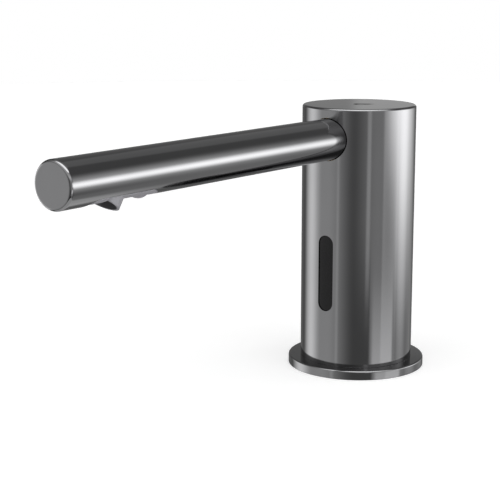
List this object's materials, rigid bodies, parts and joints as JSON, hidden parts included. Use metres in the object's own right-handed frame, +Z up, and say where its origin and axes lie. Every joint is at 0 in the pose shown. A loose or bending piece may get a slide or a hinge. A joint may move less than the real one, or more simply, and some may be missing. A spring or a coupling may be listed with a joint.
{
  "type": "automatic soap dispenser",
  "caption": "Deck-mounted touch-free foam soap dispenser: round column with a sensor window, slim straight spout and a hooded outlet under its tip.",
  "frame": {"origin": "on the column's axis, in the plane of the deck that the flange stands on", "axes": "+Z up along the column, -Y out along the spout towards its tip, +X to the right of someone who faces the column from behind"},
  "size_m": [0.0542, 0.1934, 0.1044],
  "materials": {
    "gunmetal": "polished",
    "brass": "satin",
    "steel": "satin",
    "black_steel": "satin",
    "grey_plastic": "satin",
    "black_plastic": "matte",
    "white_plastic": "satin",
    "dark_window": "polished",
    "rubber": "matte",
    "lead_sheath": "matte",
    "soap_hose": "gloss",
    "air_hose": "gloss",
    "circuit_board": "gloss",
    "diode": "gloss",
    "foam_screen": "satin"
  },
  "bodies": {
    "base": {"base_gasket": "rubber", "base_flange": "gunmetal", "base_mount": "gunmetal", "mount_seal": "rubber"},
    "column": {"column_shell": "gunmetal", "top_cap": "gunmetal", "spout_tube": "gunmetal", "spout_end_cap": "gunmetal", "spout_saddle": "brass", "spout_nut": "brass", "retaining_ring": "steel", "sensor_screw_upper": "steel", "sensor_screw_lower": "steel", "spout_washer": "steel", "sensor_housing": "black_plastic", "inner_chassis": "black_plastic", "lead_connector": "black_plastic", "board_plug": "white_plastic", "soap_inlet": "white_plastic", "air_inlet": "white_plastic", "mixing_block": "white_plastic", "sensor_lens": "dark_window", "cap_seal": "rubber", "lens_gasket": "rubber", "end_cap_seal": "rubber", "mixer_seal": "rubber", "sensor_lead": "lead_sheath", "soap_tube": "soap_hose", "air_tube": "air_hose", "sensor_board": "circuit_board", "infrared_emitter": "diode", "infrared_receiver": "diode"},
    "set_screw": {"set_screw": "black_steel"},
    "nozzle": {"nozzle_insert": "grey_plastic", "nozzle_seal": "rubber", "foam_screen_outer": "foam_screen", "screen_spacer": "white_plastic", "foam_screen_inner": "foam_screen", "valve_seat": "rubber", "valve_spring": "steel", "button_spring": "steel", "button_retainer": "white_plastic"},
    "release_button": {"release_button": "grey_plastic"},
    "valve_poppet": {"valve_poppet": "white_plastic"}
  },
  "joints": [
    {"name": "column_lift", "type": "slide", "parent": "base", "child": "column", "axis": [0, 0, 1], "range_m": [0, 0.012]},
    {"name": "set_screw_turn", "type": "hinge", "parent": "column", "child": "set_screw", "pos_m": [0, 0.02, 0.0115], "axis": [0, 1, 0], "range_deg": [0, 720]},
    {"name": "nozzle_pull", "type": "slide", "parent": "column", "child": "nozzle", "axis": [0, 0, -1], "range_m": [0, 0.014]},
    {"name": "button_press", "type": "slide", "parent": "nozzle", "child": "release_button", "axis": [0, 0, 1], "range_m": [0, 0.0008], "stiffness_N_per_m": 600, "springref_m": -0.0006, "deforming": ["button_spring"]},
    {"name": "valve_open", "type": "slide", "parent": "nozzle", "child": "valve_poppet", "axis": [0, 0, -1], "range_m": [0, 0.001], "stiffness_N_per_m": 200, "springref_m": -0.001, "deforming": ["valve_spring"]}
  ]
}
